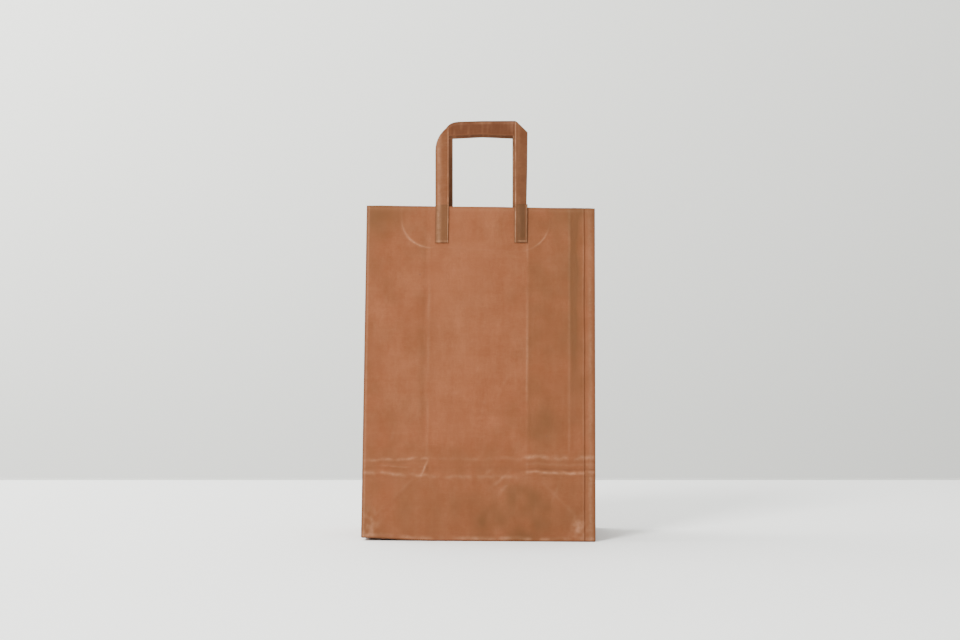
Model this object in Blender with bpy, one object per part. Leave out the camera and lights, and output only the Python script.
"""Folded-paper carrier bag standing on its block bottom.  Metres, +Z up.

X runs across the front from left to right, +Y from the front panel to the back panel.
The two big panels hinge at the bottom edges and lean in over the base, so the
mouth is nearly closed.  Each gusset is folded in along its centre line.  Two
flat handles folded from paper strip stand over the mouth.
"""
import bpy
import bmesh
import numpy as np
from math import sin, cos, asin, sqrt, pi
from mathutils import Vector

FRONT, BACK = -1, 1      # sign of Y
LEFT, RIGHT = -1, 1      # sign of X

# ---- bag -----------------------------------------------------------------
WIDTH = 0.260            # across the front
DEPTH = 0.140            # base, front to back
HEIGHT = 0.380           # panel length from base edge to mouth
MOUTH_DEPTH = 0.024      # between the panels at the mouth
PLY = 0.0003             # one layer of paper
GAP = 0.0003             # clearance between neighbouring pieces
HALF_WIDTH = WIDTH / 2
HALF_DEPTH = DEPTH / 2
LEAN = asin((HALF_DEPTH - MOUTH_DEPTH / 2) / HEIGHT)   # panel angle from upright

# ---- panels and their linings --------------------------------------------
PANEL_START = 0.0007     # panel's lower edge, along the panel
CREASE = HALF_DEPTH      # cross crease of the front panel, along the panel
EDGE_FACET = 0.010       # strip past the right vertical groove
EDGE_FACET_DROP = 0.0012         # how far its free edge turns inward
LAP_LEFT, LAP_RIGHT = 0.101, 0.1205   # glued side lap inside the front panel
LAP_START = 0.004
LAP_CREASE_GAP = 0.001   # lap edge to crease
LINING_TOP = HEIGHT - 0.001      # upper edge of laps and patches
LINING_LAYER = (PLY + GAP, 2 * PLY + GAP)   # inward from the panel's outer face
PATCH_WIDTH, PATCH_HEIGHT, PATCH_RADIUS = 0.168, 0.050, 0.034
PATCH_CENTRE = 0.0011
PATCH_ARC_STEPS = 12

# ---- base ----------------------------------------------------------------
FLAP_OVERLAP = 0.025     # how far the bottom flaps reach past the middle
FLAP_SIDE = 0.0010       # flap edge set in from the side
FLAP_HINGE_INSET = 0.0004        # flap edge set in from the panel's bottom edge
STEP_FOOT = 0.0009       # start of the front flap's step, ahead of the rear flap
STEP_SHIFT = 0.00012     # upper skin of the step, further ahead
TUCK_REACH = 0.066
TUCK_SIDE = 0.0025       # tuck edge set in from the side
TUCK_END_INSET = 0.0040  # tuck corners set in from front and back

# ---- gussets -------------------------------------------------------------
GUSSET_START = 0.006     # lowest row, along the panel
GUSSET_TOP_INSET = 0.0005
GUSSET_EDGE_INSET = 0.0003       # outer edge set in from the side
GUSSET_PANEL_GAP = 0.0002        # extra clearance to the panel
GUSSET_FOLD_GAP = 0.0007         # sheet stops short of the fold line
GUSSET_MIDDLE_GAP = 0.00036      # least Y distance to the middle, above the crease
LOWER_STEPS, UPPER_STEPS, CROSS_STEPS = 5, 16, 6
GUSSET_BASE_MARGIN = 0.0012      # bottom triangle drawn in on every edge

# ---- handles -------------------------------------------------------------
HANDLE_PLY = 0.0011      # folded strip, several layers
STRIP = 0.015            # handle strip width
BAR = 0.016              # height of the top bar
FOOT = 0.0440            # glued end below the mouth
AXIS_OUT = 0.00015       # hinge line outside the foot face
HINGE_GAP = 0.0003       # foot and loop edges to the hinge line
# prefix, panel, outer left x, outer right x, loop height
HANDLES = (
    ("front_handle", FRONT, -0.0513, 0.0537, 0.0955),
    ("rear_handle", BACK, -0.0480, 0.0507, 0.0945),
)
# chamfered shoulders where the strip is folded over:
# (distance in from the outer edge, distance below the top)
RIGHT_SHOULDER = ((0, 0.0130), (0.0136, 0.0008))
LEFT_SHOULDER = ((0.024, 0), (0.0145, 0.0050), (0.0052, 0.0155), (0.0008, 0.0250), (0, 0.0320))

# ---- paper ---------------------------------------------------------------
KRAFT = (0.425, 0.178, 0.088)
KRAFT_DARK = (0.345, 0.138, 0.066)
KRAFT_LIGHT = (0.470, 0.205, 0.105)
PAPER_ROUGHNESS = 0.85
LOOP_ROUGHNESS = 0.8


# ---- building tools ------------------------------------------------------
def paper(name, colour, roughness):
    material = bpy.data.materials.new(name)
    material.use_nodes = True
    inputs = material.node_tree.nodes["Principled BSDF"].inputs
    inputs["Base Color"].default_value = (*colour, 1.0)
    inputs["Roughness"].default_value = roughness
    inputs["Metallic"].default_value = 0.0
    return material


def add(name, verts, faces, colour, origin, roughness=PAPER_ROUGHNESS, smooth=False):
    """Add an object from world points, with its faces turned outward."""
    mesh = bpy.data.meshes.new(name)
    mesh.from_pydata([tuple(Vector(v) - Vector(origin)) for v in verts], [], faces)
    mesh.validate()
    bm = bmesh.new()
    bm.from_mesh(mesh)
    bmesh.ops.recalc_face_normals(bm, faces=bm.faces)
    if bm.calc_volume(signed=True) < 0:
        bmesh.ops.reverse_faces(bm, faces=bm.faces)
    bm.to_mesh(mesh)
    bm.free()
    obj = bpy.data.objects.new(name, mesh)
    obj.location = origin
    bpy.context.scene.collection.objects.link(obj)
    mesh.materials.append(paper(name + "_paper", colour, roughness))
    if smooth:
        for polygon in mesh.polygons:
            polygon.use_smooth = True


def add_prism(name, near, far, colour, origin, caps=None, **options):
    """Solid between two matching rings.  caps splits each end into several faces."""
    count = len(near)
    caps = caps or [tuple(range(count))]
    faces = [tuple(reversed(cap)) for cap in caps]
    faces += [tuple(count + i for i in cap) for cap in caps]
    for i in range(count):
        j = (i + 1) % count
        faces.append((i, j, count + j, count + i))
    add(name, near + far, faces, colour, origin, **options)


def rectangle(a0, a1, b0, b1):
    return [(a0, b0), (a1, b0), (a1, b1), (a0, b1)]


def panel_point(face, x, along, inward):
    """World point from x, distance up the panel and depth in from its outer face."""
    y = face * (HALF_DEPTH - along * sin(LEAN) - inward * cos(LEAN))
    return (x, y, along * cos(LEAN) - inward * sin(LEAN))


def panel_origin(face):
    return (0, face * HALF_DEPTH, 0)


def add_on_panel(name, face, outline, layer, colour):
    """Flat piece parallel to a panel; outline holds (x, along) points."""
    near, far = ([panel_point(face, x, along, depth) for x, along in outline]
                 for depth in layer)
    add_prism(name, near, far, colour, panel_origin(face))


def add_on_floor(name, outline, bottom, colour):
    """Level sheet of one ply; outline holds (x, y) points."""
    near, far = ([(x, y, z) for x, y in outline] for z in (bottom, bottom + PLY))
    add_prism(name, near, far, colour, (0, 0, 0))


# ---- panels --------------------------------------------------------------
def front_panel(name, start, end):
    """One length of the front panel: flat, with a narrow facet at the right edge."""
    groove = HALF_WIDTH - EDGE_FACET
    section = [  # (x, inward)
        (-HALF_WIDTH, 0), (groove, 0), (HALF_WIDTH, EDGE_FACET_DROP),
        (HALF_WIDTH, EDGE_FACET_DROP + PLY), (groove, PLY), (-HALF_WIDTH, PLY)]
    near, far = ([panel_point(FRONT, x, along, inward) for x, inward in section]
                 for along in (start, end))
    add_prism(name, near, far, KRAFT, panel_origin(FRONT), caps=[(0, 1, 4, 5), (1, 2, 3, 4)])


def back_panel():
    outline = rectangle(-HALF_WIDTH, HALF_WIDTH, PANEL_START, HEIGHT)
    add_on_panel("back_panel", BACK, outline, (0, PLY), KRAFT)


def seam_lap(name, start, end):
    outline = rectangle(LAP_LEFT, LAP_RIGHT, start, end)
    add_on_panel(name, FRONT, outline, LINING_LAYER, KRAFT_DARK)


def handle_patch(name, face):
    """Reinforcing patch inside a panel, with rounded lower corners."""
    left, right = PATCH_CENTRE - PATCH_WIDTH / 2, PATCH_CENTRE + PATCH_WIDTH / 2
    arc_level = LINING_TOP - PATCH_HEIGHT + PATCH_RADIUS
    outline = [(left, LINING_TOP)]
    for centre, start in ((left + PATCH_RADIUS, pi), (right - PATCH_RADIUS, 1.5 * pi)):
        for i in range(PATCH_ARC_STEPS + 1):
            angle = start + i * pi / 2 / PATCH_ARC_STEPS
            outline.append((centre + PATCH_RADIUS * cos(angle),
                            arc_level + PATCH_RADIUS * sin(angle)))
    outline.append((right, LINING_TOP))
    add_on_panel(name, face, outline, LINING_LAYER, KRAFT_DARK)


# ---- base ----------------------------------------------------------------
FLAP_X = HALF_WIDTH - FLAP_SIDE
FLAP_HINGE_Y = HALF_DEPTH - FLAP_HINGE_INSET


def base_rear_flap():
    outline = rectangle(-FLAP_X, FLAP_X, -FLAP_OVERLAP, FLAP_HINGE_Y)
    add_on_floor("base_rear_flap", outline, 0, KRAFT)


def base_front_flap():
    """Lies on the floor, then steps up over the rear flap."""
    raised = PLY + GAP
    foot = -FLAP_OVERLAP - STEP_FOOT
    head = -FLAP_OVERLAP - GAP
    profile = [  # (y, z)
        (-FLAP_HINGE_Y, 0), (foot, 0), (head, raised), (FLAP_OVERLAP, raised),
        (FLAP_OVERLAP, raised + PLY), (head - STEP_SHIFT, raised + PLY),
        (foot - STEP_SHIFT, PLY), (-FLAP_HINGE_Y, PLY)]
    near, far = ([(x, y, z) for y, z in profile] for x in (-FLAP_X, FLAP_X))
    add_prism("base_front_flap", near, far, KRAFT, (0, 0, 0),
              caps=[(0, 7, 6, 1), (1, 6, 5, 2), (2, 5, 4, 3)])


def base_tuck(name, side):
    """Side tuck over the flaps, tapering at 45 degrees to a tip of no width here."""
    outer = side * (HALF_WIDTH - TUCK_SIDE)
    inner = side * (HALF_WIDTH - TUCK_SIDE - TUCK_REACH)
    end = HALF_DEPTH - TUCK_END_INSET
    outline = [(outer, -end), (outer, end), (inner, end - TUCK_REACH), (inner, -end + TUCK_REACH)]
    add_on_floor(name, outline, 2 * PLY + 2 * GAP, KRAFT_DARK)


# ---- gussets -------------------------------------------------------------
UPPER_LENGTH = HEIGHT - CREASE


def fold_apex():
    """Inset from the side and z of the point where the fold line meets the triangle.

    It lies half a depth from the middle of the base's side edge and half a depth
    from the panel edge at crease height.
    """
    _, y, z = panel_point(FRONT, 0, CREASE, 0)
    apex_z = (y * y + z * z) / (2 * z)
    return sqrt(HALF_DEPTH ** 2 - apex_z ** 2), apex_z


APEX_INSET, APEX_Z = fold_apex()


def fold_z(inset):
    """Height of the point one upper length from the apex, at this inset."""
    return APEX_Z + sqrt(UPPER_LENGTH ** 2 - (inset - APEX_INSET) ** 2)


def fold_mouth():
    """Mouth end of the fold line: half a gusset from the panel edge, by bisection."""
    _, y, z = panel_point(FRONT, 0, HEIGHT, 0)
    low, high = APEX_INSET, HALF_DEPTH
    for _ in range(60):
        middle = (low + high) / 2
        if middle ** 2 + y ** 2 + (z - fold_z(middle)) ** 2 < HALF_DEPTH ** 2:
            low = middle
        else:
            high = middle
    return low, fold_z(low)


MOUTH_INSET, MOUTH_Z = fold_mouth()


def add_sheet(name, grid, colour, origin):
    """Closed sheet of one ply about a grid of centre points."""
    points = np.array(grid)
    normals = np.cross(np.gradient(points, axis=0), np.gradient(points, axis=1))
    normals /= np.linalg.norm(normals, axis=2, keepdims=True)
    skins = [(points + normals * offset).reshape(-1, 3) for offset in (PLY / 2, -PLY / 2)]
    rows, columns = points.shape[:2]
    count = rows * columns
    faces = []
    for i in range(rows - 1):
        for j in range(columns - 1):
            corner = i * columns + j
            quad = (corner, corner + columns, corner + columns + 1, corner + 1)
            faces += [quad, tuple(count + v for v in reversed(quad))]
    index = np.arange(count).reshape(rows, columns)
    rim = np.concatenate([index[:-1, 0], index[-1, :-1],
                          index[:0:-1, -1], index[0, :0:-1]]).tolist()
    for start, end in zip(rim, rim[1:] + rim[:1]):
        faces.append((start, count + start, count + end, end))
    add(name, [tuple(p) for p in np.vstack(skins)], faces, colour, origin, smooth=True)


def fold_point(side, face, along):
    """Inner edge of a gusset half: the diagonal below the crease, the fold line above."""
    if along <= CREASE:
        part = along / CREASE
        inset, y, z = APEX_INSET * part, face * HALF_DEPTH * (1 - part), APEX_Z * part
        return np.array([side * (HALF_WIDTH - inset), y, z])
    part = (along - CREASE) / UPPER_LENGTH
    inset = APEX_INSET + (MOUTH_INSET - APEX_INSET) * part
    return np.array([side * (HALF_WIDTH - inset), 0.0, APEX_Z + (MOUTH_Z - APEX_Z) * part])


def gusset_half(name, side, face):
    inward = PLY + GAP + PLY / 2 + GUSSET_PANEL_GAP
    if side == RIGHT and face == FRONT:
        inward += EDGE_FACET_DROP
    stations = [GUSSET_START + (CREASE - GUSSET_START) * i / LOWER_STEPS
                for i in range(LOWER_STEPS + 1)]
    stations += [CREASE + UPPER_LENGTH * i / UPPER_STEPS for i in range(1, UPPER_STEPS + 1)]
    grid = []
    for along in stations:
        edge = np.array(panel_point(face, side * (HALF_WIDTH - GUSSET_EDGE_INSET),
                                    min(along, HEIGHT - GUSSET_TOP_INSET), inward))
        across = fold_point(side, face, along) - edge
        shortfall = GUSSET_FOLD_GAP / np.linalg.norm(across)
        if along >= CREASE - 1e-6:
            shortfall = max(shortfall, GUSSET_MIDDLE_GAP / abs(edge[1]))
        grid.append([edge + across * (1 - shortfall) * j / CROSS_STEPS
                     for j in range(CROSS_STEPS + 1)])
    if side == face:     # keeps the grid normal toward x = 0 on all four halves
        grid = [row[::-1] for row in grid]
    add_sheet(name, grid, KRAFT, panel_origin(face))


def gusset_base(name, side):
    """Bottom triangle between the two diagonals, leaning in to the apex."""
    corners = [np.array([side * HALF_WIDTH, -HALF_DEPTH, 0.0]),
               np.array([side * HALF_WIDTH, HALF_DEPTH, 0.0]),
               np.array([side * (HALF_WIDTH - APEX_INSET), 0.0, APEX_Z])]
    opposite = [np.linalg.norm(corners[i - 2] - corners[i - 1]) for i in range(3)]
    incentre = sum(length * p for length, p in zip(opposite, corners)) / sum(opposite)
    normal = np.cross(corners[1] - corners[0], corners[2] - corners[0])
    inradius = np.linalg.norm(normal) / sum(opposite)
    scale = 1 - GUSSET_BASE_MARGIN / inradius
    normal /= np.linalg.norm(normal)
    near, far = ([tuple(incentre + (p - incentre) * scale + normal * offset) for p in corners]
                 for offset in (PLY / 2, -PLY / 2))
    add_prism(name, near, far, KRAFT, (side * HALF_WIDTH, 0, 0))


# ---- handles -------------------------------------------------------------
def handle_foot(name, face, left):
    """Foot glued to the outer face, its top at the mouth line."""
    outline = rectangle(left, left + STRIP, HEIGHT - FOOT, HEIGHT - HINGE_GAP)
    add_on_panel(name, face, outline, (-GAP - HANDLE_PLY, -GAP), KRAFT_LIGHT)


def handle_loop(name, face, left, right, height):
    """Upright loop on the hinge line: two legs and a top bar."""
    _, axis_y, axis_z = panel_point(face, 0, HEIGHT, -GAP - HANDLE_PLY - AXIS_OUT)
    bottom, top = axis_z + HINGE_GAP, axis_z + height
    outline = [  # (x, z), anticlockwise seen from -Y
        (left, bottom), (left + STRIP, bottom), (left + STRIP, top - BAR),
        (right - STRIP, top - BAR), (right - STRIP, bottom), (right, bottom)]
    outline += [(right - inset, top - drop) for inset, drop in RIGHT_SHOULDER]
    outline += [(left + inset, top - drop) for inset, drop in LEFT_SHOULDER]
    near, far = ([(x, axis_y - face * offset, z) for x, z in outline]
                 for offset in (AXIS_OUT, AXIS_OUT + HANDLE_PLY))
    caps = [(0, 1, 2, 9, 10, 11, 12), (2, 3, 7, 8, 9), (3, 4, 5, 6, 7)]   # leg, bar, leg
    add_prism(name, near, far, KRAFT_LIGHT, (0, axis_y, axis_z),
              caps=caps, roughness=LOOP_ROUGHNESS)


# ---- assembly ------------------------------------------------------------
for old in list(bpy.data.objects):
    bpy.data.objects.remove(old, do_unlink=True)

front_panel("front_panel_lower", PANEL_START, CREASE - GAP / 2)
front_panel("front_panel_upper", CREASE + GAP / 2, HEIGHT)
back_panel()
seam_lap("seam_lap_lower", LAP_START, CREASE - LAP_CREASE_GAP)
seam_lap("seam_lap_upper", CREASE + LAP_CREASE_GAP, LINING_TOP)
handle_patch("front_handle_patch", FRONT)
handle_patch("rear_handle_patch", BACK)

base_rear_flap()
base_front_flap()
for word, side in (("left", LEFT), ("right", RIGHT)):
    base_tuck(f"base_tuck_{word}", side)
    gusset_half(f"gusset_{word}_front", side, FRONT)
    gusset_half(f"gusset_{word}_rear", side, BACK)
    gusset_base(f"gusset_{word}_base", side)

for prefix, face, left, right, height in HANDLES:
    handle_foot(f"{prefix}_foot_left", face, left)
    handle_foot(f"{prefix}_foot_right", face, right - STRIP)
    handle_loop(f"{prefix}_loop", face, left, right, height)

bpy.context.view_layer.update()
